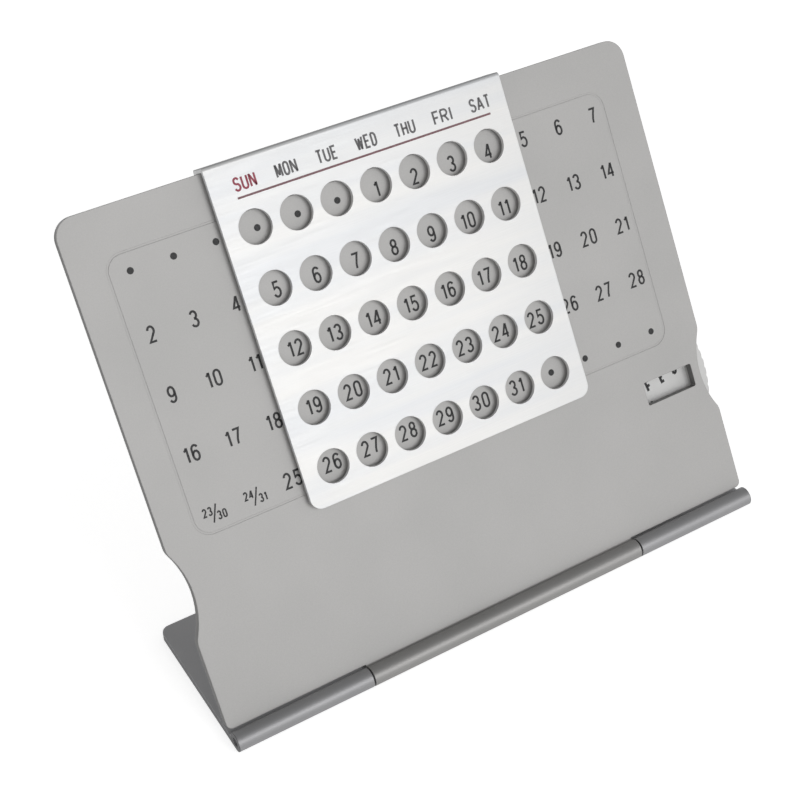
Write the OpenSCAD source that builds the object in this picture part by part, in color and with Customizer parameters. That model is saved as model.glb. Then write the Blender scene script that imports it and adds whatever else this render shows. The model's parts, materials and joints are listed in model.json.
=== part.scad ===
// Perpetual desk calendar: a sheet panel hinged to a short base, a folded date
// slider that hangs on the panel's top edge, and a month dial behind the panel.
// Millimetres, +Z up, front towards -Y, origin under the middle of the object.

/* [Face panel] */
// Width of the face panel
panel_w = 105; // [95:1:130]
// Height of the panel's top edge above the hinge axis, along the panel
panel_h = 85.9; // [82:0.1:110]
// Thickness of the panel sheet
panel_t = 1.5; // [1.2:0.1:1.8]
// Angle between the panel and the base as it stands
display_angle = 58.2; // [55:0.1:66]
// Radius of the two top corners
top_corner_r = 3.3; // [1:0.1:6]
// Radius of the two bottom corners
bottom_corner_r = 1.0; // [0.4:0.1:2]
// Height of the cut lower edge above the hinge axis, beside the middle knuckle
cut_edge_h = 1.95; // [1.85:0.05:3]
// Width of the pressed line round the dates
frame_line_w = 0.35; // [0.2:0.05:0.6]
// Depth of the pressed line
frame_line_depth = 0.05; // [0.05:0.05:0.3]
// How far the middle column of dates stands to the left of the panel's middle
dates_left = 0.6; // [0:0.1:1]
// Corner radius of the pressed line
frame_line_r = 3; // [1:0.5:5]
// Margin of the pressed line above and below the rows of dates
frame_margin_y = 3.0; // [2:0.1:5]
// Margin of the pressed line beside the outer columns of dates
frame_margin_x = 2.8; // [2:0.1:5]

/* [Finger notches] */
// Depth of the finger notch in each side edge
notch_depth = 2.0; // [1:0.1:3]
// Radius of the notch
notch_r = 15; // [9:0.5:18]
// Radius that blends the notch into the side edge
notch_blend_r = 3; // [0.5:0.25:4]

/* [Month window] */
// Width of the window, across the panel
window_w = 10.6; // [9:0.1:12]
// Height of the window, along the panel
window_h = 4.2; // [3:0.1:5]
// Corner radius of the window
window_r = 0.35; // [0.2:0.05:1]
// Distance of the window's middle from the dial's axis, where the months stand
month_r = 10.35; // [10:0.05:11.5]

/* [Month dial] */
// Outside diameter of the dial
dial_d = 40; // [38:0.5:42]
// Thickness of the dial
dial_t = 1.2; // [0.8:0.1:1.8]
// Height of the dial's axis above the hinge axis, along the panel
dial_h = 24.9; // [24.5:0.1:30]
// How far the dial's rim stands past the panel's side
dial_proud = 0.8; // [0:0.1:1]
// Number of finger scallops round the rim
scallops = 72; // [48:12:96]
// Depth of each scallop
scallop_depth = 0.15; // [0.1:0.05:0.4]
// Radius of the cutter of one scallop
scallop_r = 0.7; // [0.5:0.05:1]

/* [Dial stud] */
// Diameter of the stud that the dial turns on
stud_d = 4; // [3:0.5:5]
// Diameter of the stud's flange
stud_flange_d = 10; // [8:0.5:14]
// Thickness of the flange, which holds the dial off the panel
stud_flange_t = 0.5; // [0.4:0.1:1.2]
// Diameter at the bottom of the ring groove
groove_d = 3; // [2:0.1:3.2]
// Length of the stud beyond the ring
stud_tip = 0.5; // [0.3:0.1:1]
// Running clearance of the dial on the stud, on the radius
dial_clearance = 0.05; // [0.03:0.01:0.09]
// End play of the dial between the flange and the spring washer, each side
dial_play = 0.05; // [0.03:0.01:0.2]

/* [Spring washer and ring] */
// Outside diameter of the spring washer
washer_d = 8.4; // [7:0.1:10]
// Thickness of the spring washer's sheet
washer_t = 0.3; // [0.2:0.05:0.4]
// Height of the dished spring washer
washer_h = 0.7; // [0.5:0.1:1]
// Outside diameter of the retaining ring
ring_d = 8; // [7:0.1:10]
// Thickness of the retaining ring
ring_t = 0.5; // [0.4:0.1:0.8]
// Width of the ring's open side
ring_mouth = 2.4; // [2:0.1:2.9]
// Width of the ring's rim and of its jaws
ring_jaw_w = 1.2; // [1:0.1:1.4]

/* [Date slider] */
// Number of weekday columns
columns = 7; // [7:1:7]
// Number of week rows
rows = 5; // [4:1:5]
// Distance between the columns
column_pitch = 7.27; // [6.8:0.01:7.6]
// Distance between the rows
row_pitch = 10.04; // [9:0.01:10.4]
// Diameter of the date holes
hole_d = 5.66; // [4.5:0.02:6.2]
// Distance of the first row's middle below the panel's top edge
header_h = 10.3; // [9:0.01:14]
// Margin from the outer columns' middle to the slider's side
slider_margin_x = 5.55; // [4:0.05:8]
// Margin from the last row's middle to the slider's bottom edge
slider_margin_y = 5.9; // [4:0.1:7]
// Thickness of the slider sheet
slider_t = 0.7; // [0.6:0.05:1]
// Inside radius of the folds at the top
fold_r = 0.25; // [0.2:0.05:0.6]
// Outside radius of the folds, pressed sharper than a free bend
fold_outer_r = 0.6; // [0.5:0.05:1.2]
// Radius of the slider's bottom corners
slider_corner_r = 2.0; // [1:0.1:3]
// Length of the lip behind the panel, from the top edge of the panel
lip_len = 9; // [6:0.5:14]
// Clearance between the top edge of the panel and the fold
fold_clearance = 0.05; // [0.05:0.05:0.3]

/* [Felt strips] */
// Thickness of the felt strips inside the slider
felt_t = 0.6; // [0.4:0.05:0.7]
// Running clearance between the felt and the panel
felt_clearance = 0.05; // [0.05:0.01:0.1]
// Height of the strip behind the weekday names
top_felt_h = 4; // [3:0.5:5]
// Height of the strip along the bottom edge
bottom_felt_h = 1.6; // [1:0.1:2]
// Height of the strip in the lip
lip_felt_h = 5; // [3:0.5:6]
// Distance of the strips' ends from the slider's sides
felt_inset = 2.5; // [1:0.5:5]

/* [Hinge] */
// Outside diameter of the hinge barrel
barrel_d = 3.4; // [2.8:0.1:3.6]
// How far the hinge axis lies in front of the panel's face
axis_proud = 0.8; // [0.6:0.1:1]
// Radius of the fillets between the barrel and the sheets
barrel_fillet = 0.3; // [0.2:0.05:0.4]
// Height of the rounded lower end of the panel's tongue above the table
tongue_clearance = 0.2; // [0.1:0.05:0.4]
// Length of the middle knuckle, on the panel
middle_knuckle_l = 54.6; // [40:0.2:70]
// Gap between the middle knuckle and each outer knuckle
knuckle_gap = 0.3; // [0.2:0.05:0.6]
// Diameter of the hinge pin
pin_d = 1.6; // [1.4:0.1:1.8]
// Clearance of the pin in the middle knuckle, on the radius
pin_clearance = 0.05; // [0.02:0.01:0.08]
// How far the pin's ends lie inside the outer knuckles
pin_recess = 0.4; // [0.2:0.1:1]
// Chamfer of the pin's ends
pin_chamfer = 0.2; // [0.1:0.05:0.3]

/* [Base] */
// How far each end of the base lies inside the panel's side
base_inset = 0.2; // [0:0.05:5]
// Depth of the base from the hinge axis to its back edge
base_d = 28.4; // [24:0.2:45]
// Thickness of the base plate
base_t = 1.5; // [1.2:0.05:2]
// Radius of the two back corners
base_corner_r = 1.6; // [1:0.1:5]
// Clearance behind the panel's lower end, in the base's cutout
cutout_clearance = 0.3; // [0.2:0.05:1]

/* [Hidden] */

$fn = 96;
eps = 0.01;

// Panel coordinates: x across, y up along the panel from the hinge axis,
// z towards the viewer from the hinge axis.
face_z = -axis_proud;
back_z = face_z - panel_t;
barrel_r = barrel_d / 2;

// Rows and columns of the dates, which hang from the panel's top edge
first_row_y = panel_h - header_h;
last_row_y = first_row_y - (rows - 1) * row_pitch;
date_columns = 2 * columns - 1;
date_span_x = (date_columns - 1) * column_pitch;

// Slider: the felt and its clearance hold the sheet off the panel
felt_gap = felt_t + felt_clearance;
slider_w = (columns - 1) * column_pitch + 2 * slider_margin_x;
slider_bottom_y = last_row_y - slider_margin_y;
slider_top_y = panel_h + fold_clearance + slider_t;
slider_inner_z = face_z + felt_gap;
slider_face_z = slider_inner_z + slider_t;
lip_inner_z = back_z - felt_gap;
lip_back_z = lip_inner_z - slider_t;
lip_bottom_y = panel_h - lip_len;
felt_w = slider_w - 2 * felt_inset;

// Dial: its rim stands just past the panel's side, in the right-hand notch
dial_r = dial_d / 2;
dial_x = panel_w / 2 + dial_proud - dial_r;
window_x = dial_x + month_r;
dial_face_z = back_z - stud_flange_t - dial_play;
dial_back_z = dial_face_z - dial_t;
washer_z = dial_back_z - dial_play;
ring_z = washer_z - washer_h;
stud_end_z = ring_z - ring_t - stud_tip;

// Hinge: the underside of the base touches the underside of the barrel
axis_z = barrel_r;
base_w = panel_w - 2 * base_inset;
base_top = base_t - axis_z;
outer_knuckle_x = middle_knuckle_l / 2 + knuckle_gap;
outer_knuckle_l = base_w / 2 - outer_knuckle_x;
pin_l = base_w - 2 * pin_recess;
tongue_y = (tongue_clearance + panel_t / 2 - axis_z
            - (face_z + back_z) / 2 * cos(display_angle)) / sin(display_angle);
// The base's top edge in the cutout stays behind the leaning panel's back face
cutout_y = (base_top * cos(display_angle) - back_z + cutout_clearance) / sin(display_angle);

// Place of the origin: the middle of the depth, on the table
back_reach = fold_outer_r + (slider_top_y - fold_outer_r) * cos(display_angle)
    - (lip_back_z + fold_outer_r) * sin(display_angle);
front_reach = barrel_r;
axis_y = -(back_reach - front_reach) / 2;

// Puts panel coordinates into place on the standing calendar
module on_panel() {
    translate([0, axis_y, axis_z])
        rotate([display_angle, 0, 0])
            children();
}

// Puts hinge coordinates (y backwards and z up from the hinge axis) into place
module on_base() {
    translate([0, axis_y, axis_z])
        children();
}

// A flat outline in the panel's plane, from z0 to z1
module slab(z0, z1) {
    translate([0, 0, z0])
        linear_extrude(z1 - z0)
            children();
}

// An outline drawn in (y, z), carried along x and centred on x = 0
module along_x(length) {
    rotate([90, 0, 90])
        translate([0, 0, -length / 2])
            linear_extrude(length)
                children();
}

// Rectangle from corner (x0, y0) to (x1, y1) with its own radius at the top and
// at the bottom corners
module rounded_rect(x0, y0, x1, y1, r_top, r_bottom) {
    translate([x0, y0 + r_bottom])
        square([x1 - x0, y1 - y0 - r_top - r_bottom]);
    translate([x0 + r_top, y0 + r_bottom])
        square([x1 - x0 - 2 * r_top, y1 - y0 - r_bottom]);
    translate([x0 + r_bottom, y0])
        square([x1 - x0 - 2 * r_bottom, y1 - y0 - r_top]);
    for (x = [x0 + r_top, x1 - r_top])
        translate([x, y1 - r_top])
            circle(r_top);
    for (x = [x0 + r_bottom, x1 - r_bottom])
        translate([x, y0 + r_bottom])
            circle(r_bottom);
}

// Same rectangle with one radius, centred on the origin
module centred_rounded_rect(w, h, r) {
    rounded_rect(-w / 2, -h / 2, w / 2, h / 2, r, r);
}

// Cutter of a finger notch in an edge at x = 0 with the sheet on its -x side:
// a circle, blended into the edge by a smaller circle at each end
module finger_notch() {
    reach = notch_r + notch_blend_r;
    half = sqrt(reach * reach - (reach - notch_depth) * (reach - notch_depth));
    blend_x = -notch_blend_r + notch_blend_r * (reach - notch_depth) / reach;
    difference() {
        union() {
            translate([notch_r - notch_depth, 0])
                circle(notch_r, $fn = 180);
            translate([blend_x, -half])
                square([notch_depth - blend_x, 2 * half]);
        }
        for (side = [-1, 1])
            translate([-notch_blend_r, side * half])
                circle(notch_blend_r);
    }
}

// Concave fillet of radius r in the corner between a flat at height level
// (sheet below it) and a barrel of radius barrel_r about the origin
module barrel_corner(level, r) {
    centre_z = level + r;
    centre_y = sqrt(pow(barrel_r + r, 2) - pow(centre_z, 2));
    touch = barrel_r / (barrel_r + r);
    difference() {
        polygon([
            [0, level - eps], [centre_y, level - eps], [centre_y, level],
            [centre_y * touch, centre_z * touch], [0, centre_z * touch]
        ]);
        translate([centre_y, centre_z])
            circle(r);
    }
}

// ---- Face panel ---------------------------------------------------------

module panel_outline() {
    difference() {
        rounded_rect(-panel_w / 2, cut_edge_h, panel_w / 2, panel_h,
                     top_corner_r, bottom_corner_r);
        for (side = [0, 1])
            mirror([side, 0])
                translate([panel_w / 2, dial_h])
                    finger_notch();
        translate([window_x, dial_h])
            centred_rounded_rect(window_w, window_h, window_r);
    }
}

// Pressed line round the dates: the space between two rounded rectangles
module date_frame() {
    w = date_span_x + 2 * frame_margin_x;
    h = (rows - 1) * row_pitch + 2 * frame_margin_y;
    translate([-dates_left, (first_row_y + last_row_y) / 2])
        difference() {
            centred_rounded_rect(w, h, frame_line_r);
            centred_rounded_rect(w - 2 * frame_line_w, h - 2 * frame_line_w,
                                 frame_line_r - frame_line_w);
        }
}

// Section of the middle knuckle with the tongue of sheet that carries it
module middle_knuckle_section() {
    difference() {
        union() {
            circle(barrel_r);
            translate([tongue_y, back_z])
                square([cut_edge_h + eps - tongue_y, panel_t]);
            translate([tongue_y, (face_z + back_z) / 2])
                circle(panel_t / 2);
            barrel_corner(face_z, barrel_fillet);
        }
        circle(pin_d / 2 + pin_clearance);
    }
}

module face_panel() {
    color([0.70, 0.69, 0.68])
        on_panel() {
            difference() {
                slab(back_z, face_z)
                    panel_outline();
                slab(face_z - frame_line_depth, face_z + eps)
                    date_frame();
            }
            along_x(middle_knuckle_l)
                middle_knuckle_section();
        }
}

// ---- Date slider --------------------------------------------------------

// Panel coordinates with x measured from the middle column of dates
module on_slider() {
    on_panel()
        translate([-dates_left, 0, 0])
            children();
}

// Outline in (y, z) from (y0, z0) to (y1, z1) with both corners at y1 rounded
module folded_outline(y0, z0, y1, z1, r) {
    translate([y0, z0])
        square([y1 - r - y0, z1 - z0]);
    translate([y0, z0 + r])
        square([y1 - y0, z1 - z0 - 2 * r]);
    for (z = [z0 + r, z1 - r])
        translate([y1 - r, z])
            circle(r);
}

// Section of the folded sheet: face, fold over the panel's top edge, lip
module slider_section() {
    difference() {
        folded_outline(slider_bottom_y, lip_back_z, slider_top_y, slider_face_z,
                       fold_outer_r);
        folded_outline(slider_bottom_y - eps, lip_inner_z,
                       slider_top_y - slider_t, slider_inner_z, fold_r);
        translate([slider_bottom_y - eps, lip_back_z - eps])
            square([lip_bottom_y - slider_bottom_y + eps, slider_t + 2 * eps]);
    }
}

module date_slider() {
    color([0.93, 0.93, 0.94])
        on_slider()
            difference() {
                intersection() {
                    along_x(slider_w)
                        slider_section();
                    slab(lip_back_z - eps, slider_face_z + eps)
                        rounded_rect(-slider_w / 2, slider_bottom_y, slider_w / 2,
                                     slider_top_y + fold_outer_r, eps, slider_corner_r);
                }
                for (column = [0 : columns - 1], row = [0 : rows - 1])
                    translate([
                        (column - (columns - 1) / 2) * column_pitch,
                        first_row_y - row * row_pitch,
                        slider_inner_z - eps
                    ])
                        cylinder(d = hole_d, h = slider_t + 2 * eps);
            }
}

// ---- Felt strips --------------------------------------------------------

module felt_strip(bottom_y, height, glued_z, side) {
    color([0.16, 0.16, 0.17])
        on_slider()
            translate([-felt_w / 2, bottom_y, side > 0 ? glued_z - felt_t : glued_z])
                cube([felt_w, height, felt_t]);
}

module top_felt() {
    felt_strip(first_row_y + hole_d / 2 + (header_h - hole_d / 2 - top_felt_h) / 2,
               top_felt_h, slider_inner_z, 1);
}

module bottom_felt() {
    margin = slider_margin_y - hole_d / 2;
    felt_strip(slider_bottom_y + (margin - bottom_felt_h) / 2,
               bottom_felt_h, slider_inner_z, 1);
}

module lip_felt() {
    felt_strip(lip_bottom_y + (lip_len - lip_felt_h) / 4, lip_felt_h, lip_inner_z, -1);
}

// ---- Month dial and what holds it ---------------------------------------

module on_dial_axis() {
    on_panel()
        translate([dial_x, dial_h, 0])
            children();
}

module month_dial() {
    color([0.90, 0.90, 0.89])
        on_dial_axis()
            slab(dial_back_z, dial_face_z)
                difference() {
                    circle(dial_r, $fn = 180);
                    circle(stud_d / 2 + dial_clearance);
                    for (i = [0 : scallops - 1])
                        rotate(i * 360 / scallops)
                            translate([dial_r + scallop_r - scallop_depth, 0])
                                circle(scallop_r, $fn = 32);
                }
}

module dial_stud() {
    color([0.78, 0.78, 0.80])
        on_dial_axis()
            rotate_extrude()
                polygon([
                    [0, back_z], [stud_flange_d / 2, back_z],
                    [stud_flange_d / 2, back_z - stud_flange_t],
                    [stud_d / 2, back_z - stud_flange_t],
                    [stud_d / 2, ring_z], [groove_d / 2, ring_z],
                    [groove_d / 2, ring_z - ring_t], [stud_d / 2, ring_z - ring_t],
                    [stud_d / 2, stud_end_z + stud_tip / 2],
                    [stud_d / 2 - stud_tip / 2, stud_end_z], [0, stud_end_z]
                ]);
}

module spring_washer() {
    inner_r = stud_d / 2 + dial_clearance;
    color([0.55, 0.56, 0.58])
        on_dial_axis()
            rotate_extrude()
                polygon([
                    [washer_d / 2, washer_z], [washer_d / 2, washer_z - washer_t],
                    [inner_r, ring_z], [inner_r, ring_z + washer_t]
                ]);
}

// Open ring with three inward jaws, snapped into the stud's groove
module retaining_ring() {
    color([0.42, 0.43, 0.46])
        on_dial_axis()
            slab(ring_z - ring_t, ring_z)
                difference() {
                    union() {
                        difference() {
                            circle(ring_d / 2);
                            circle(ring_d / 2 - ring_jaw_w);
                        }
                        for (a = [0, 90, 180])
                            rotate(a)
                                translate([0, -ring_jaw_w / 2])
                                    square([ring_d / 2 - ring_jaw_w / 2, ring_jaw_w]);
                    }
                    circle(groove_d / 2);
                    translate([-ring_mouth / 2, -ring_d])
                        square([ring_mouth, ring_d - groove_d / 4]);
                }
}

// ---- Base and hinge pin --------------------------------------------------

module base_section() {
    circle(barrel_r);
    translate([0, -axis_z])
        square([barrel_r + base_corner_r, base_t]);
    barrel_corner(base_top, barrel_fillet);
}

module base_plate_outline() {
    difference() {
        union() {
            translate([-base_w / 2, 0])
                square([base_w, base_d - base_corner_r]);
            translate([-base_w / 2 + base_corner_r, 0])
                square([base_w - 2 * base_corner_r, base_d]);
            for (side = [-1, 1])
                translate([side * (base_w / 2 - base_corner_r), base_d - base_corner_r])
                    circle(base_corner_r);
        }
        translate([-outer_knuckle_x, -eps])
            square([2 * outer_knuckle_x, cutout_y + eps]);
    }
}

module base_plate() {
    color([0.66, 0.66, 0.67])
        on_base()
            difference() {
                union() {
                    slab(-axis_z, base_top)
                        base_plate_outline();
                    for (side = [-1, 1])
                        translate([side * (outer_knuckle_x + outer_knuckle_l / 2), 0, 0])
                            along_x(outer_knuckle_l)
                                base_section();
                }
                rotate([0, 90, 0])
                    cylinder(d = pin_d, h = base_w + 2 * eps, center = true);
            }
}

module hinge_pin() {
    color([0.60, 0.61, 0.63])
        on_base()
            rotate([0, 90, 0])
                rotate_extrude()
                    polygon([
                        [0, -pin_l / 2], [pin_d / 2 - pin_chamfer, -pin_l / 2],
                        [pin_d / 2, -pin_l / 2 + pin_chamfer],
                        [pin_d / 2, pin_l / 2 - pin_chamfer],
                        [pin_d / 2 - pin_chamfer, pin_l / 2], [0, pin_l / 2]
                    ]);
}

face_panel();
date_slider();
top_felt();
bottom_felt();
lip_felt();
month_dial();
dial_stud();
spring_washer();
retaining_ring();
base_plate();
hinge_pin();
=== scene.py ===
"""Looks of the perpetual desk calendar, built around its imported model.

Metres, +Z up, the printed face towards -Y. Panel coordinates are (across, up along the panel
from the hinge axis, out towards the viewer), also in metres. The materials' masks alone measure
in millimetres.
"""

import json
import math

import bpy
import numpy as np
from mathutils import Matrix, Vector


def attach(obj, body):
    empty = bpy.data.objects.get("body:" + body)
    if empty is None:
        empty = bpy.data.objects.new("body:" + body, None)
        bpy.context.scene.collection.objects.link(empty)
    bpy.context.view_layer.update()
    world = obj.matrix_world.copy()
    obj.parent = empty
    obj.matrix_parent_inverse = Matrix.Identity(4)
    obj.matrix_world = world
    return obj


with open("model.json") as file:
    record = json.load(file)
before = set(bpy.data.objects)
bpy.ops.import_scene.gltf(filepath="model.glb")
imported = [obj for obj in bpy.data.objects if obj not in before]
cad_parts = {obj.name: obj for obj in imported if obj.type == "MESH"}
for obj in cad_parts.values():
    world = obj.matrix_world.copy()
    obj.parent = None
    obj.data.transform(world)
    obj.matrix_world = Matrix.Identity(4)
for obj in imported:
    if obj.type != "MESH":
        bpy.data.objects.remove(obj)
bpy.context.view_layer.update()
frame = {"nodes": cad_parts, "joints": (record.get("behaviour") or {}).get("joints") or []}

MM = 0.001


# ---- Places taken from the frame ------------------------------------------------------------

joints = {joint["name"]: joint for joint in frame["joints"]}
HINGE = np.array(joints["panel_hinge"]["pos_m"])
OUT = np.array(joints["month_turn"]["axis"])
ACROSS = np.array(joints["panel_hinge"]["axis"], float)
UP = np.cross(OUT, ACROSS)
PANEL_AXES = np.stack([ACROSS, UP, OUT])
LEAN = math.atan2(UP[2], UP[1])


def from_panel(points):
    """Panel coordinates to the frame: the hinge's point plus each coordinate along its own axis."""
    return HINGE + np.asarray(points, float) @ PANEL_AXES


def to_panel(points):
    """The frame's coordinates to panel coordinates."""
    return (np.asarray(points, float) - HINGE) @ PANEL_AXES.T


def frame_points(node):
    """A node's vertices in the frame's coordinates."""
    mesh = frame["nodes"][node].data
    flat = np.empty(len(mesh.vertices) * 3, np.float32)
    mesh.vertices.foreach_get("co", flat)
    return flat.reshape(-1, 3)


def node_points(node):
    """A node's vertices in panel coordinates."""
    return to_panel(frame_points(node))


panel_up, panel_out = node_points("face_panel")[:, 1:].T
PANEL_TOP = panel_up.max()
above_knuckle = panel_out[panel_up > PANEL_TOP / 2]
PANEL_FACE = above_knuckle.max()
PANEL_SHEET = PANEL_FACE - above_knuckle.min()

slider_up, slider_out = node_points("date_slider")[:, 1:].T
SLIDER_TOP = slider_up.max()
below_lip = slider_out[slider_up < SLIDER_TOP / 2]
SLIDER_FACE = below_lip.max()
SLIDER_SHEET = SLIDER_FACE - below_lip.min()

DIAL_FACE = node_points("month_dial")[:, 2].max()
DIAL_AXIS = joints["month_turn"]["pos_m"]
DIAL_CENTRE = to_panel(DIAL_AXIS)[:2]

base_across, base_back, base_up = frame_points("base_plate").T
BARREL_BACK = HINGE[1] + HINGE[2]      # the hinge axis stands one barrel radius above the table
BARREL_FILLET = 0.5 * MM               # more than the fillet's reach behind the barrel
BASE_SIDE = base_across.max()
BASE_SHEET = base_up[base_back > BARREL_BACK + BARREL_FILLET].max()


# ---- Meshes ---------------------------------------------------------------------------------

def add_piece(name, points, faces, material, body, slot):
    """Makes a piece from points in panel coordinates and lets it ride on a body."""
    mesh = bpy.data.meshes.new(name)
    mesh.from_pydata(from_panel(points).tolist(), [], faces.tolist())
    mesh.materials.append(material)
    mesh.update()
    piece = bpy.data.objects.new(name, mesh)
    bpy.context.scene.collection.objects.link(piece)
    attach(piece, body)
    return piece


def join_parts(parts):
    """One set of points and faces from several, each part's faces counted on from the last."""
    offsets = np.cumsum([0] + [len(points) for points, _ in parts[:-1]])
    points = np.vstack([points for points, _ in parts])
    faces = np.vstack([faces + offset for (_, faces), offset in zip(parts, offsets)])
    return points, faces


def grid_faces(rows, columns, wrap_rows=False):
    """Quads between the neighbours of a grid whose columns, and if asked its rows, wrap round."""
    row = np.arange(rows if wrap_rows else rows - 1)[:, None]
    column = np.arange(columns)[None, :]
    next_row = (row + 1) % rows
    next_column = (column + 1) % columns
    corners = [row * columns + column, row * columns + next_column,
               next_row * columns + next_column, next_row * columns + column]
    return np.stack([np.broadcast_to(c, (len(row), columns)).ravel() for c in corners], 1)


# ---- Printed lettering ----------------------------------------------------------------------

INK_RISE = 0.020 * MM      # ink above the sheet's face
INK_SINK = 0.005 * MM      # ink below it, so that no gap shows
SAME_POINT = 1e-9          # points of a stroke nearer than this are one
ARC_STEPS = 12
DOT_STEPS = 24
DOT_HOLE = 0.02            # share of a dot's radius that its pinhole takes
MITRE_LIMIT = 0.5          # least value of 1 + cosine of a turn, which keeps sharp mitres short


def arc(across, up, half_w, half_h, start, end):
    """Points of an ellipse round (across, up), from one angle to another in degrees."""
    angle = np.radians(np.linspace(start, end, ARC_STEPS))
    return np.stack([across + half_w * np.cos(angle), up + half_h * np.sin(angle)], 1)


def path(*runs):
    """One stroke from several runs of points."""
    return np.vstack([np.asarray(run, float) for run in runs])


def turned(strokes):
    """The same strokes, turned half round."""
    return [1 - np.asarray(stroke, float) for stroke in strokes]


STEM = [(0, 0), (0, 1)]
RIGHT_STEM = [(1, 0), (1, 1)]
SIX = [path(arc(.5, .71, .5, .29, 28, 180), [(0, .31)]), arc(.5, .31, .5, .31, 0, 360)]
UPPER_BOWL = path([(0, 1), (.5, 1)], arc(.5, .745, .5, .255, 90, -90), [(0, .49)])
ROUND = path(arc(.5, .74, .5, .26, 0, 180), arc(.5, .26, .5, .26, 180, 360), [(1, .74)])

# Each figure: its width as a share of its height, and its strokes in a unit square
GLYPHS = {
    "0": (.50, [ROUND]),
    "1": (.30, [path([(0, .78), (.5, .84), (.95, .99)]), RIGHT_STEM]),
    "2": (.50, [path(arc(.5, .72, .49, .28, 168, -22), [(0, 0), (1, 0)])]),
    "3": (.50, [arc(.48, .755, .47, .245, 160, -90), arc(.48, .255, .52, .255, 90, -162)]),
    "4": (.52, [path([(.70, 1), (0, .27), (1, .27)]), [(.74, 0), (.74, 1)]]),
    "5": (.50, [path([(.95, 1), (.14, 1), (.06, .55)], arc(.45, .32, .55, .32, 128, -158))]),
    "6": (.50, SIX),
    "7": (.50, [path([(0, 1), (1, 1), (.70, .62), (.48, .30), (.40, 0)])]),
    "8": (.50, [arc(.5, .765, .44, .235, 0, 360), arc(.5, .27, .5, .27, 0, 360)]),
    "9": (.50, turned(SIX)),
    "A": (.58, [[(0, 0), (.5, 1)], [(.5, 1), (1, 0)], [(.2, .3), (.8, .3)]]),
    "B": (.48, [STEM, path([(0, 1), (.5, 1)], arc(.5, .765, .42, .235, 90, -90), [(0, .53)]),
                path([(.4, .53)], arc(.5, .265, .5, .265, 90, -90), [(0, 0)])]),
    "C": (.50, [path(arc(.5, .74, .5, .26, 12, 180), arc(.5, .26, .5, .26, 180, 348))]),
    "D": (.46, [STEM, path([(0, 1), (.35, 1)], arc(.4, .7, .6, .3, 90, 0),
                           arc(.4, .3, .6, .3, 0, -90), [(0, 0)])]),
    "E": (.46, [path([(1, 1), (0, 1), (0, 0), (1, 0)]), [(0, .52), (.88, .52)]]),
    "F": (.56, [path([(1, 1), (0, 1), (0, 0)]), [(0, .5), (.85, .5)]]),
    "G": (.52, [path(arc(.5, .74, .5, .26, 15, 180), arc(.5, .26, .5, .26, 180, 360),
                     [(1, .46), (.55, .46)])]),
    "H": (.50, [STEM, RIGHT_STEM, [(0, .52), (1, .52)]]),
    "I": (.30, [[(.5, 0), (.5, 1)]]),
    "J": (.42, [path([(1, 1), (1, .26)], arc(.5, .26, .5, .26, 0, -170))]),
    "L": (.42, [path([(0, 1), (0, 0), (1, 0)])]),
    "M": (.54, [STEM, RIGHT_STEM, [(.03, 1), (.5, .12)], [(.5, .12), (.97, 1)]]),
    "N": (.52, [STEM, RIGHT_STEM, [(0, 1), (1, 0)]]),
    "O": (.48, [ROUND]),
    "P": (.48, [STEM, UPPER_BOWL]),
    "R": (.64, [STEM, UPPER_BOWL, [(.52, .49), (1, 0)]]),
    "S": (.53, [path(arc(.5, .76, .47, .24, 18, 268), arc(.5, .26, .5, .26, 88, -162))]),
    "T": (.50, [[(0, 1), (1, 1)], [(.5, 1), (.5, 0)]]),
    "U": (.52, [path([(0, 1), (0, .26)], arc(.5, .26, .5, .26, 180, 360), [(1, 1)])]),
    "V": (.52, [[(0, 1), (.5, 0)], [(.5, 0), (1, 1)]]),
    "W": (.62, [[(0, 1), (.26, 0)], [(.26, 0), (.5, .9)], [(.5, .9), (.74, 0)],
                [(.74, 0), (1, 1)]]),
    "Y": (.52, [[(0, 1), (.5, .45)], [(.5, .45), (1, 1)], [(.5, .47), (.5, 0)]]),
}


def stroke_part(centre_line, width, height):
    """A flat bar along a centre line.

    Each point is moved half the width to both sides along its mitre, which is the mean of the
    normals before and after it divided by the cosine of half the turn, and the four corners of
    the section give the grid that closes round the bar.
    """
    points = np.asarray(centre_line, float)
    apart = np.abs(np.diff(points, axis=0)).max(1) > SAME_POINT
    points = points[np.append(True, apart)]
    steps = np.diff(points, axis=0)
    steps /= np.linalg.norm(steps, axis=1, keepdims=True)
    normals = np.stack([-steps[:, 1], steps[:, 0]], 1)
    before = np.vstack([normals[:1], normals])
    after = np.vstack([normals, normals[-1:]])
    mitre = before + after
    mitre /= np.maximum((mitre * before).sum(1, keepdims=True), MITRE_LIMIT)
    left = points + mitre * width / 2
    right = points - mitre * width / 2
    low = np.full((len(points), 1), height - INK_SINK)
    high = np.full((len(points), 1), height + INK_RISE)
    section = [np.hstack([left, low]), np.hstack([right, low]),
               np.hstack([right, high]), np.hstack([left, high])]
    ring = np.stack(section, 1).reshape(-1, 3)
    last = len(ring) - 4
    ends = np.array([[3, 2, 1, 0], [last, last + 1, last + 2, last + 3]])
    return ring, np.vstack([grid_faces(len(points), 4), ends])


def glyph_parts(sign, left, bottom, size, weight, height):
    """The strokes of one figure, its unit square fitted inside half the stroke's width."""
    share, strokes = GLYPHS[sign]
    scale = np.array([share * size - weight, size - weight])
    corner = np.array([left, bottom]) + weight / 2
    return [stroke_part(corner + np.asarray(stroke, float) * scale, weight, height)
            for stroke in strokes]


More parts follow.
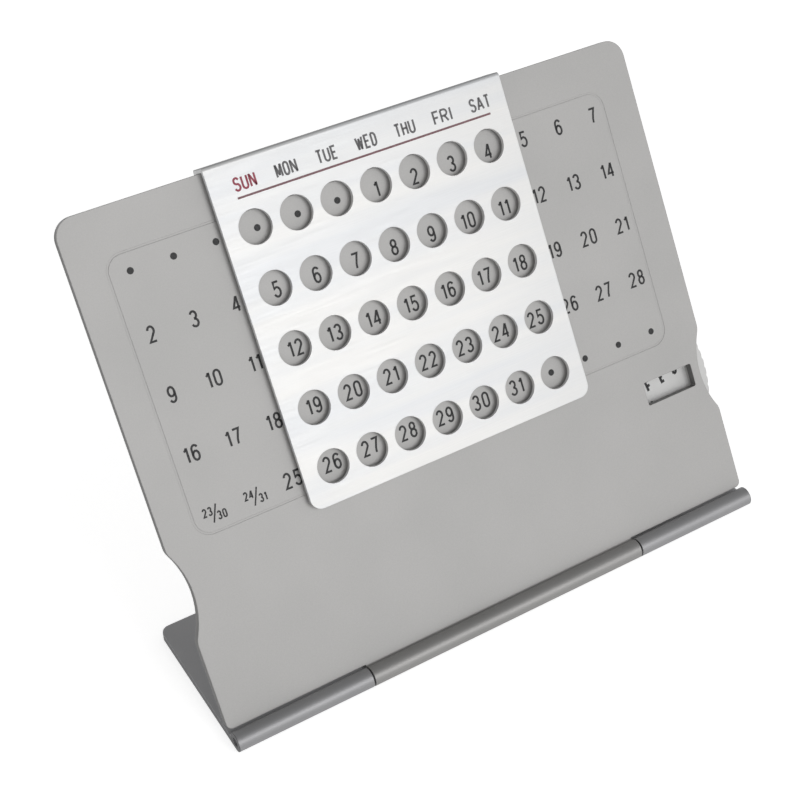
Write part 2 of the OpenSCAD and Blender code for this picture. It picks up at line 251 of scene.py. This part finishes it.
def text_parts(text, centre, size, weight, gap, height):
    """A line of figures with its middle at a centre.

    The first starts half the line's length to the left, and each next one starts at the last
    one's width and a gap further on.
    """
    widths = [GLYPHS[sign][0] * size for sign in text]
    total = sum(widths) + gap * (len(text) - 1)
    left = centre[0] - total / 2
    parts = []
    for sign, width in zip(text, widths):
        parts += glyph_parts(sign, left, centre[1] - size / 2, size, weight, height)
        left += width + gap
    return parts


def dot_part(centre, diameter, height):
    """A printed dot.

    The four corners of a flat section, from a pinhole out to the dot's own radius at the low
    level and back at the high one, go round the centre, and the grid closes both ways.
    """
    angle = np.linspace(0, 2 * math.pi, DOT_STEPS, endpoint=False)
    radii = np.array([DOT_HOLE, 1, 1, DOT_HOLE])[:, None] * diameter / 2
    levels = np.array([-INK_SINK, -INK_SINK, INK_RISE, INK_RISE])[:, None] + height
    points = np.stack([centre[0] + radii * np.cos(angle), centre[1] + radii * np.sin(angle),
                       np.broadcast_to(levels, (len(levels), DOT_STEPS))], 2)
    return points.reshape(-1, 3), grid_faces(len(levels), DOT_STEPS, wrap_rows=True)


def turn_parts(parts, centre, angle):
    """The same parts, turned in the panel's plane about a centre by an angle, anticlockwise."""
    cosine, sine = math.cos(angle), math.sin(angle)
    turn = np.array([[cosine, sine, 0], [-sine, cosine, 0], [0, 0, 1]])
    pivot = np.array([centre[0], centre[1], 0])
    return [((points - pivot) @ turn + pivot, faces) for points, faces in parts]


# ---- Materials ------------------------------------------------------------------------------

# Sizes of clouds, grains, lines and fibres, and depths of their relief
CLOUD_SIZE = 18 * MM
GRAIN_SIZE = 0.22 * MM
GRAIN_DEPTH = 0.006 * MM
BAND_SIZE = (60 * MM, 4 * MM, 60 * MM)
SCRATCH_SIZE = (9 * MM, 0.10 * MM, 9 * MM)
SCRATCH_DEPTH = 0.003 * MM
STUD_RING_SIZE = 0.15 * MM
STEEL_RING_SIZE = 0.12 * MM
RING_DEPTH = 0.004 * MM
PIN_LINE_SIZE = (8 * MM, 0.08 * MM, 0.08 * MM)
PIN_LINE_DEPTH = 0.002 * MM
SKIN_SIZE = 0.5 * MM
SKIN_DEPTH = 0.006 * MM
TINT_SIZE = 12 * MM
FIBRE_SIZE = (0.18 * MM, 0.5 * MM, 0.18 * MM)
FIBRE_DEPTH = 0.08 * MM
COVER_SIZE = 0.3 * MM
COVER_DEPTH = 0.003 * MM

# Radii to which edges are rounded
BLASTED_EDGE_R = 0.12 * MM
BRUSHED_EDGE_R = 0.10 * MM
TURNED_EDGE_R = 0.06 * MM
PIN_EDGE_R = 0.05 * MM
MOULDED_EDGE_R = 0.10 * MM
EDGE_SAMPLES = 6

# Masks of painted shade and painted light, in millimetres
KNUCKLE_TOP = 1.92         # where the flat sheet above the hinge begins
SHEET_INSET = 0.02         # from a sheet's back to its cut edge's mask
PRESSED_INSET = 0.06       # from the panel's face to that mask, past the floor of the pressed line
CUT_BLEND = 0.04
END_BLEND = 0.06
BODY_BLEND = 0.05          # between a sheet and its knuckle or barrel
FACE_END = 0.8             # below the slider's top, where the painted light on its cut edges ends
FOLD_START = 0.05          # below the slider's top, where the fold's full painted shade starts
FOLD_BLEND = 0.2

# Tones of painted shade and painted light, as shares of a finish's own, and how metallic a finish
# is
KNUCKLE_PAINTED_SHADE = 0.685
BARREL_PAINTED_SHADE = 0.84
CUT_PAINTED_SHADE = 0.36
SLIDER_CUT_PAINTED_LIGHT = 1.15
FOLD_PAINTED_SHADE = 0.50
PANEL_METALLIC = 0.20
BASE_METALLIC = 0.80
SLIDER_METALLIC = 0.42
INK_SPECULAR = 0.3
THIN_INK_GAIN = 1.5
THIN_INK_LIFT = 0.02
WHITE = (1, 1, 1, 1)


def opaque(color):
    """A colour that covers fully."""
    return (*color, 1)


class Nodes:
    """A node tree, with short ways to work out values and colours in it."""

    def __init__(self, tree):
        self.tree = tree

    def put(self, socket, value):
        """Sets a socket to a constant or leads an output to it."""
        if isinstance(value, bpy.types.NodeSocket):
            self.tree.links.new(value, socket)
        else:
            socket.default_value = value

    def add(self, kind, inputs=(), **settings):
        """A new node with its settings, and with a constant or an output for each input."""
        node = self.tree.nodes.new(kind)
        for name, setting in settings.items():
            setattr(node, name, setting)
        for name, value in dict(inputs).items():
            self.put(node.inputs[name], value)
        return node

    def noise(self, vector, detail=3.0, rough=0.5):
        """Cloudy noise with features one unit of the vector across."""
        node = self.add("ShaderNodeTexNoise",
                        {"Vector": vector, "Scale": 1.0, "Detail": detail, "Roughness": rough})
        return node.outputs["Fac"]

    def spread(self, value, low, high, start=0.3, end=0.7):
        """A value that runs from start to end, spread to run from low to high."""
        node = self.add("ShaderNodeMapRange", {"Value": value, "From Min": start, "From Max": end,
                                               "To Min": low, "To Max": high})
        return node.outputs["Result"]

    def blend(self, value, first, second):
        """The first colour where a value is 0, and the second where it is 1."""
        node = self.add("ShaderNodeMix", {"Factor": value, "A": first, "B": second},
                        data_type="RGBA")
        return node.outputs["Result"]

    def times(self, color, value):
        """A colour multiplied by a value."""
        node = self.add("ShaderNodeMix", {"Factor": 1, "A": color, "B": value},
                        data_type="RGBA", blend_type="MULTIPLY")
        return node.outputs["Result"]

    def split(self, vector):
        """The three coordinates of a vector."""
        node = self.add("ShaderNodeSeparateXYZ", {"Vector": vector})
        return node.outputs["X"], node.outputs["Y"], node.outputs["Z"]

    def calculate(self, operation, *values):
        """A value worked out from others, such as by ADD, MULTIPLY or ABSOLUTE."""
        node = self.add("ShaderNodeMath", dict(enumerate(values)), operation=operation)
        return node.outputs["Value"]

    def both(self, first, second):
        """The product of two values: 1 where both masks are."""
        return self.calculate("MULTIPLY", first, second)

    def above(self, value, limit, fade):
        """A mask: 1 where a value lies above a limit, 0 where it lies a fade or more below."""
        return self.spread(value, 0, 1, limit - fade, limit)

    def below(self, value, limit, fade):
        """A mask: 1 where a value lies a fade or more below a limit, 0 above."""
        return self.spread(value, 1, 0, limit - fade, limit)

    def between(self, value, low, high, fade):
        """A mask: 1 where a value lies between two limits, 0 outside, with a fade inside each."""
        return self.both(self.above(value, low + fade, fade), self.below(value, high, fade))

    def toned(self, color, mask, share):
        """A colour that turns to a share of itself where a mask is 1."""
        return self.times(color, self.spread(mask, 1, share, 0, 1))


class Finish(Nodes):
    """A procedural material: a Principled shader and the nodes that feed it."""

    def __init__(self, name, color, metallic, roughness):
        self.material = bpy.data.materials.new(name)
        self.material.use_nodes = True
        super().__init__(self.material.node_tree)
        self.shader = self.tree.nodes["Principled BSDF"]
        self.normal = None
        self.feed("Base Color", opaque(color))
        self.feed("Metallic", metallic)
        self.feed("Roughness", roughness)

    def feed(self, socket, value):
        """Sets one of the shader's sockets or leads an output to it."""
        self.put(self.shader.inputs[socket], value)

    def place(self, feature, turned_x=0.0, at=(0, 0, 0)):
        """Object coordinates from a point, turned about X, in units of a feature's size."""
        node = self.add("ShaderNodeMapping", {
            "Vector": self.add("ShaderNodeTexCoord").outputs["Object"],
            "Location": tuple(at),
            "Rotation": (turned_x, 0, 0),
            "Scale": tuple(np.broadcast_to(feature, 3)),
        }, vector_type="TEXTURE")
        return node.outputs["Vector"]

    def panel_place(self):
        """Panel coordinates in millimetres: across, up and out."""
        return self.split(self.place(MM, LEAN, HINGE))

    def soft_edges(self, radius):
        """Edges that shade as if rounded to a radius."""
        node = self.add("ShaderNodeBevel", {"Radius": radius}, samples=EDGE_SAMPLES)
        self.normal = node.outputs["Normal"]
        self.feed("Normal", self.normal)

    def bump(self, value, depth, strength=1.0):
        """Relief of a depth in metres, over the soft edges where there are any."""
        inputs = {"Height": value, "Distance": depth, "Strength": strength}
        if self.normal:
            inputs["Normal"] = self.normal
        self.normal = self.add("ShaderNodeBump", inputs).outputs["Normal"]
        self.feed("Normal", self.normal)


def blasted_aluminium(name, light, dark, metallic):
    """Matt anodised sheet: fine blasted grain over slow clouds of tone."""
    finish = Finish(name, light, metallic, roughness=0.5)
    finish.soft_edges(BLASTED_EDGE_R)
    clouds = finish.noise(finish.place(CLOUD_SIZE), detail=2)
    grain = finish.noise(finish.place(GRAIN_SIZE), detail=3, rough=0.6)
    tone = finish.blend(finish.spread(clouds, 0, 1), opaque(dark), opaque(light))
    tone = finish.times(tone, finish.spread(grain, 0.95, 1.03))
    finish.feed("Roughness", finish.spread(grain, 0.46, 0.54))
    finish.bump(grain, GRAIN_DEPTH)
    return finish, tone


def panel_aluminium(name, light, dark):
    """The blasted sheet, with painted shade darkening its cut edges and its rolled knuckle, and a
    barer, more metallic knuckle.
    """
    finish, tone = blasted_aluminium(name, light, dark, PANEL_METALLIC)
    _, up, out = finish.panel_place()
    face, back = PANEL_FACE / MM, (PANEL_FACE - PANEL_SHEET) / MM
    knuckle = finish.below(up, KNUCKLE_TOP, BODY_BLEND)
    sheet = finish.above(up, KNUCKLE_TOP + SHEET_INSET, SHEET_INSET)
    edges = finish.between(out, back + SHEET_INSET, face - PRESSED_INSET, CUT_BLEND)
    # Painted shade: the rolled knuckle is darkened.
    tone = finish.toned(tone, knuckle, KNUCKLE_PAINTED_SHADE)
    # Painted shade: the cut edges, such as the walls of the window, are darkened.
    finish.feed("Base Color", finish.toned(tone, finish.both(edges, sheet), CUT_PAINTED_SHADE))
    finish.feed("Metallic", finish.spread(knuckle, PANEL_METALLIC, BASE_METALLIC, 0, 1))
    return finish.material


def base_aluminium(name, light, dark):
    """The blasted sheet with painted shade darkening its barrel, its cut edges and its barrel ends.
    """
    finish, tone = blasted_aluminium(name, light, dark, BASE_METALLIC)
    across, back, up = finish.split(finish.place(MM))
    plate = finish.above(back, BARREL_BACK / MM, BODY_BLEND)
    barrel = finish.below(back, BARREL_BACK / MM, BODY_BLEND)
    edges = finish.between(up, SHEET_INSET, BASE_SHEET / MM - CUT_BLEND, CUT_BLEND)
    ends = finish.above(finish.calculate("ABSOLUTE", across), BASE_SIDE / MM - CUT_BLEND,
                        END_BLEND)
    # Painted shade: the barrel is darkened, then the plate's cut edges and the barrel's ends.
    tone = finish.toned(tone, barrel, BARREL_PAINTED_SHADE)
    tone = finish.toned(tone, finish.both(edges, plate), CUT_PAINTED_SHADE)
    finish.feed("Base Color", finish.toned(tone, finish.both(ends, barrel), CUT_PAINTED_SHADE))
    return finish.material


def brushed_aluminium(name, cool, warm):
    """Bright sheet brushed across: long fine scratches over broad bands of tone.

    Its cut edges get painted light that makes them a little lighter, and painted shade darkens the
    fold along the top.
    """
    finish = Finish(name, warm, SLIDER_METALLIC, roughness=0.44)
    finish.soft_edges(BRUSHED_EDGE_R)
    bands = finish.noise(finish.place(BAND_SIZE, LEAN), detail=2)
    lines = finish.noise(finish.place(SCRATCH_SIZE, LEAN), detail=4, rough=0.7)
    tone = finish.blend(finish.spread(bands, 0, 1, 0.35, 0.65), opaque(cool), opaque(warm))
    tone = finish.times(tone, finish.spread(lines, 0.95, 1.02))
    _, up, out = finish.panel_place()
    face, back, top = SLIDER_FACE / MM, (SLIDER_FACE - SLIDER_SHEET) / MM, SLIDER_TOP / MM
    edges = finish.between(out, back + SHEET_INSET, face - CUT_BLEND, CUT_BLEND)
    flat = finish.below(up, top - FACE_END, FOLD_BLEND)
    # Painted shade: the fold along the top is darkened.
    tone = finish.toned(tone, finish.above(up, top - FOLD_START, FOLD_BLEND), FOLD_PAINTED_SHADE)
    # Painted light: the cut edges below the fold, such as the walls of the date holes, are
    # lightened.
    finish.feed("Base Color", finish.toned(tone, finish.both(edges, flat), SLIDER_CUT_PAINTED_LIGHT))
    finish.feed("Roughness", finish.spread(lines, 0.36, 0.51))
    finish.bump(lines, SCRATCH_DEPTH)
    return finish.material


def turned_metal(name, color, roughness, ring_size):
    """Lathe-turned metal: fine rings about the dial's axis."""
    finish = Finish(name, color, 1.0, roughness)
    finish.soft_edges(TURNED_EDGE_R)
    wave = finish.add("ShaderNodeTexWave", {
        "Vector": finish.place(ring_size, LEAN, DIAL_AXIS),
        "Scale": 1.0,
        "Distortion": 0.6,
    }, wave_type="RINGS", rings_direction="Z")
    rings = wave.outputs["Fac"]
    finish.feed("Roughness", finish.spread(rings, roughness - 0.06, roughness + 0.06, 0, 1))
    finish.bump(rings, RING_DEPTH)
    return finish.material


def drawn_steel(name, color, roughness):
    """Ground pin: faint lines along its length."""
    finish = Finish(name, color, 1.0, roughness)
    finish.soft_edges(PIN_EDGE_R)
    lines = finish.noise(finish.place(PIN_LINE_SIZE))
    finish.feed("Roughness", finish.spread(lines, roughness - 0.08, roughness + 0.08))
    finish.bump(lines, PIN_LINE_DEPTH)
    return finish.material


def satin_plastic(name, light, dark):
    """Moulded white plastic with a faint orange-peel skin."""
    finish = Finish(name, light, metallic=0.0, roughness=0.42)
    finish.soft_edges(MOULDED_EDGE_R)
    skin = finish.noise(finish.place(SKIN_SIZE), detail=2)
    tint = finish.noise(finish.place(TINT_SIZE), detail=2)
    finish.feed("Base Color",
                finish.blend(finish.spread(tint, 0, 1), opaque(dark), opaque(light)))
    finish.feed("Roughness", finish.spread(skin, 0.38, 0.48))
    finish.bump(skin, SKIN_DEPTH)
    return finish.material


def felt(name, light, dark):
    """Pressed wool: matted fibres that catch a little light."""
    finish = Finish(name, light, metallic=0.0, roughness=1.0)
    fibres = finish.noise(finish.place(FIBRE_SIZE), detail=5, rough=0.7)
    finish.feed("Sheen Weight", 0.35)
    finish.feed("Sheen Roughness", 0.6)
    finish.feed("Base Color",
                finish.blend(finish.spread(fibres, 0, 1), opaque(dark), opaque(light)))
    finish.bump(fibres, FIBRE_DEPTH, strength=0.8)
    return finish.material


def printing_ink(name, color):
    """Screen-printed ink: a satin film, lighter where its cover is thin."""
    finish = Finish(name, color, metallic=0.0, roughness=0.45)
    finish.feed("Specular IOR Level", INK_SPECULAR)
    cover = finish.noise(finish.place(COVER_SIZE))
    thin = tuple(min(1.0, part * THIN_INK_GAIN + THIN_INK_LIFT) for part in color)
    finish.feed("Base Color", finish.blend(finish.spread(cover, 0, 1), opaque(color), opaque(thin)))
    finish.bump(cover, COVER_DEPTH)
    return finish.material


def paint_node(node, material):
    """Puts a material in every slot of a CAD node."""
    for slot in frame["nodes"][node].material_slots:
        slot.link = "OBJECT"
        slot.material = material


panel_finish = panel_aluminium("panel_aluminium", light=(0.556, 0.548, 0.539),
                               dark=(0.522, 0.517, 0.508))
base_finish = base_aluminium("base_aluminium", light=(0.475, 0.475, 0.483),
                             dark=(0.440, 0.440, 0.450))
slider_finish = brushed_aluminium("slider_aluminium", cool=(0.765, 0.776, 0.790),
                                  warm=(0.830, 0.825, 0.812))
dial_finish = satin_plastic("dial_plastic", light=(0.88, 0.88, 0.87), dark=(0.83, 0.83, 0.82))
stud_finish = turned_metal("stud_aluminium", (0.72, 0.72, 0.73), 0.28, STUD_RING_SIZE)
steel_finish = turned_metal("spring_steel", (0.42, 0.43, 0.45), 0.30, STEEL_RING_SIZE)
pin_finish = drawn_steel("pin_steel", (0.55, 0.56, 0.57), 0.30)
felt_finish = felt("strip_felt", light=(0.035, 0.035, 0.038), dark=(0.012, 0.012, 0.013))
black_ink = printing_ink("black_ink", (0.023, 0.023, 0.024))
grey_ink = printing_ink("grey_ink", (0.135, 0.133, 0.137))
red_ink = printing_ink("red_ink", (0.31, 0.058, 0.085))
brown_ink = printing_ink("brown_ink", (0.208, 0.109, 0.12))

NODE_FINISHES = {
    "face_panel": panel_finish,
    "base_plate": base_finish,
    "date_slider": slider_finish,
    "month_dial": dial_finish,
    "dial_stud": stud_finish,
    "spring_washer": steel_finish,
    "retaining_ring": steel_finish,
    "hinge_pin": pin_finish,
    "top_felt": felt_finish,
    "bottom_felt": felt_finish,
    "lip_felt": felt_finish,
}
for node_name, node_finish in NODE_FINISHES.items():
    paint_node(node_name, node_finish)


# ---- Dates printed on the panel -------------------------------------------------------------

PRINT_COLUMNS = 13
PRINT_ROWS = 5
DAYS_IN_WEEK = 7
DAYS_IN_MONTH = 31
FIRST_DATE_COLUMN = 6      # the column of the 1st, counted from 0
COLUMN_PITCH = 7.2 * MM
COLUMN_SHIFT = -0.25 * MM  # of the middle column from the panel's middle
ROW_PITCH = 9.82 * MM
FIRST_ROW_UP = PANEL_TOP - 11.1 * MM
PRINT_TURN = math.radians(-0.36)       # the print stands a little askew, about its middle
PRINT_MIDDLE = (0, PANEL_TOP - 31.1 * MM)
FIRST_DOT_RAISE = 0.32 * MM            # of the dots before the 1st above their row
DIGIT_H = 2.75 * MM
DIGIT_WEIGHT = 0.36 * MM
DIGIT_GAP = 0.45 * MM
DOT_D = 1.12 * MM
SMALL_DIGIT_H = 1.5 * MM
SMALL_WEIGHT = 0.25 * MM
SMALL_GAP = 0.16 * MM
SPLIT_ACROSS = 1.12 * MM   # from the slash to each of the two small dates
SPLIT_RAISE = 0.55 * MM
SPLIT_SHIFT = np.array([0.45, -0.3]) * MM
SLASH_HALF = np.array([0.55, 1.4]) * MM


def split_date(upper, lower, centre, height):
    """Two small dates with a slash between them, the first raised and the second lowered."""
    shift = np.array([SPLIT_ACROSS, -SPLIT_RAISE])
    return (
        text_parts(upper, centre - shift, SMALL_DIGIT_H, SMALL_WEIGHT, SMALL_GAP, height)
        + text_parts(lower, centre + shift, SMALL_DIGIT_H, SMALL_WEIGHT, SMALL_GAP, height)
        + [stroke_part([centre - SLASH_HALF, centre + SLASH_HALF], SMALL_WEIGHT, height)]
    )


def date_parts():
    """The dates, one column a day and one row a week, with dots where there is none.

    The last row's dates that have another one a week later share their place with it.
    """
    parts = []
    for row in range(PRINT_ROWS):
        for column in range(PRINT_COLUMNS):
            date = column - FIRST_DATE_COLUMN + 1 + DAYS_IN_WEEK * row
            centre = np.array([COLUMN_SHIFT + (column - PRINT_COLUMNS // 2) * COLUMN_PITCH,
                               FIRST_ROW_UP - row * ROW_PITCH])
            if date < 1:
                parts.append(dot_part(centre + (0, FIRST_DOT_RAISE), DOT_D, PANEL_FACE))
            elif date > DAYS_IN_MONTH:
                parts.append(dot_part(centre, DOT_D, PANEL_FACE))
            elif row == PRINT_ROWS - 1 and date + DAYS_IN_WEEK <= DAYS_IN_MONTH:
                parts += split_date(str(date), str(date + DAYS_IN_WEEK),
                                    centre + SPLIT_SHIFT, PANEL_FACE)
            else:
                parts += text_parts(str(date), centre, DIGIT_H, DIGIT_WEIGHT, DIGIT_GAP,
                                    PANEL_FACE)
    return turn_parts(parts, PRINT_MIDDLE, PRINT_TURN)


add_piece("printed_dates", *join_parts(date_parts()), black_ink, "panel", "panel")


# ---- Weekday names printed on the slider ----------------------------------------------------

WEEKDAYS = ("SUN", "MON", "TUE", "WED", "THU", "FRI", "SAT")
WEEKDAY_PITCH = 7.27 * MM
WEEKDAY_SHIFT = -0.05 * MM
WEEKDAY_UP = SLIDER_TOP - 4.0 * MM
WEEKDAY_H = 2.3 * MM
WEEKDAY_WEIGHT = 0.34 * MM
WEEKDAY_GAP = 0.16 * MM
RULE_UP = SLIDER_TOP - 6.1 * MM
RULE_HALF_W = 23.5 * MM
RULE_SHIFT = -0.3 * MM
RULE_WEIGHT = 0.34 * MM


def weekday_parts(number):
    """One weekday's name, so many pitches to the side of the middle one."""
    centre = (WEEKDAY_SHIFT + (number - (len(WEEKDAYS) - 1) / 2) * WEEKDAY_PITCH, WEEKDAY_UP)
    return text_parts(WEEKDAYS[number], centre, WEEKDAY_H, WEEKDAY_WEIGHT, WEEKDAY_GAP,
                      SLIDER_FACE)


rule = stroke_part([(RULE_SHIFT - RULE_HALF_W, RULE_UP), (RULE_SHIFT + RULE_HALF_W, RULE_UP)],
                   RULE_WEIGHT, SLIDER_FACE)
week = [part for number in range(1, len(WEEKDAYS)) for part in weekday_parts(number)]
add_piece("printed_sunday", *join_parts(weekday_parts(0)), red_ink, "slider", "slider")
add_piece("printed_rule", *rule, brown_ink, "slider", "slider")
add_piece("printed_weekdays", *join_parts(week), grey_ink, "slider", "slider")


# ---- Month names printed on the dial --------------------------------------------------------

MONTHS = ("JAN", "FEB", "MAR", "APR", "MAY", "JUN",
          "JUL", "AUG", "SEP", "OCT", "NOV", "DEC")
SHOWN_MONTH = 1            # counted from 0, the month in the window
MONTH_R = 10.3 * MM
MONTH_H = 2.3 * MM
MONTH_WEIGHT = 0.50 * MM
MONTH_GAP = 1.9 * MM
MONTH_SHIFT = -0.5 * MM    # each name's middle below the radius it stands on
DIAL_TURN = math.radians(10.5)         # how far the month in the window stands turned


def month_parts():
    """The month names: each stands to the right of the dial's axis and is turned about it.

    The turn is the dial's own, and a twelfth of a full one more for each month after the one in
    the window.
    """
    parts = []
    centre = DIAL_CENTRE + (MONTH_R, MONTH_SHIFT)
    for number, month in enumerate(MONTHS):
        name = text_parts(month, centre, MONTH_H, MONTH_WEIGHT, MONTH_GAP, DIAL_FACE)
        angle = DIAL_TURN + (number - SHOWN_MONTH) * 2 * math.pi / len(MONTHS)
        parts += turn_parts(name, DIAL_CENTRE, angle)
    return parts


add_piece("printed_months", *join_parts(month_parts()), black_ink, "dial", "dial")


# ---- Floor, light and camera ----------------------------------------------------------------

FLOOR_HALF = 4.0
FLOOR_TONE = 0.8
FLOOR_GLOW = 0.69          # what the floor lacks of white under the lamps
METAL_GLOW = 0.45          # the same in reflections
HORIZON = 0.80             # the studio's brightness at the horizon and overhead
ZENITH = 0.38
HORIZON_END = 0.05         # heights on the unit sphere between which it fades
ZENITH_START = 0.70
BRIGHT_SIDE = (0.8, -0.6, 0)
BRIGHT_SHARE = 1.15        # shares of that brightness on the bright side and opposite to it
DARK_SHARE = 0.5
OBJECT_MIDDLE = (0, 0, 0.035)


def add_floor():
    """A plain white floor, which glows up to white less its shadow to the camera and in metal."""
    finish = Finish("floor_white", (FLOOR_TONE,) * 3, metallic=0.0, roughness=0.9)
    finish.feed("Specular IOR Level", 0.0)
    finish.feed("Emission Color", WHITE)
    rays = finish.add("ShaderNodeLightPath")
    to_camera = finish.spread(rays.outputs["Is Camera Ray"], 0, FLOOR_GLOW, 0, 1)
    in_metal = finish.spread(rays.outputs["Is Glossy Ray"], 0, METAL_GLOW, 0, 1)
    finish.feed("Emission Strength", finish.calculate("ADD", to_camera, in_metal))
    corners = FLOOR_HALF * np.array([(-1, -1, 0), (1, -1, 0), (1, 1, 0), (-1, 1, 0)])
    mesh = bpy.data.meshes.new("floor")
    mesh.from_pydata(corners.tolist(), [], [(0, 1, 2, 3)])
    mesh.materials.append(finish.material)
    floor = bpy.data.objects.new("floor", mesh)
    bpy.context.scene.collection.objects.link(floor)


def add_world():
    """Studio air: bright at the horizon, grey overhead and darker away from the bright side.

    The camera sees plain white in its place.
    """
    world = bpy.data.worlds.new("studio")
    bpy.context.scene.world = world
    world.use_nodes = True
    air = Nodes(world.node_tree)
    direction = air.add("ShaderNodeTexCoord").outputs["Generated"]
    ramp = air.add("ShaderNodeValToRGB", {"Fac": air.split(direction)[2]})
    ramp.color_ramp.interpolation = "EASE"
    for stop, height, tone in zip(ramp.color_ramp.elements, (HORIZON_END, ZENITH_START),
                                  (HORIZON, ZENITH)):
        stop.position = height
        stop.color = opaque((tone,) * 3)
    towards = air.add("ShaderNodeVectorMath", {0: direction, 1: BRIGHT_SIDE},
                      operation="DOT_PRODUCT").outputs["Value"]
    sided = air.times(ramp.outputs["Color"],
                      air.spread(towards, DARK_SHARE, BRIGHT_SHARE, -1, 1))
    to_camera = air.add("ShaderNodeLightPath").outputs["Is Camera Ray"]
    background = air.tree.nodes["Background"]
    air.put(background.inputs["Color"], air.blend(to_camera, sided, WHITE))
    air.put(background.inputs["Strength"], 1.0)


def add_lamp(name, at, towards, size, watts):
    """A soft square lamp that faces a point."""
    light = bpy.data.lights.new(name, "AREA")
    light.shape = "SQUARE"
    light.size = size
    light.energy = watts
    lamp = bpy.data.objects.new(name, light)
    lamp.location = at
    lamp.rotation_euler = (Vector(towards) - Vector(at)).to_track_quat("-Z", "Y").to_euler()
    bpy.context.scene.collection.objects.link(lamp)


CAMERA_AT = Vector((-0.10928, -0.175093, 0.20586))
CAMERA_AIM = Vector((0.38693, 0.65999, -0.64397))
CAMERA_ROLL = math.radians(-1.612)
CAMERA_LENS = 72.2
CAMERA_NEAR = 0.01


def add_camera():
    """The camera at the viewer's place: it looks along its aim and is rolled about it."""
    data = bpy.data.cameras.new("camera")
    data.lens = CAMERA_LENS
    data.clip_start = CAMERA_NEAR
    camera = bpy.data.objects.new("camera", data)
    turn = CAMERA_AIM.to_track_quat("-Z", "Y").to_matrix().to_4x4()
    camera.matrix_world = (Matrix.Translation(CAMERA_AT) @ turn
                           @ Matrix.Rotation(CAMERA_ROLL, 4, "Z"))
    bpy.context.scene.collection.objects.link(camera)
    bpy.context.scene.camera = camera


add_floor()
add_world()
add_lamp("front_lamp", (0.28, -1.02, 0.56), OBJECT_MIDDLE, size=0.6, watts=3.45)
add_lamp("rear_lamp", (-0.55, 1.1, 0.28), OBJECT_MIDDLE, size=0.9, watts=3.8)
add_camera()
bpy.context.scene.view_settings.view_transform = "Standard"
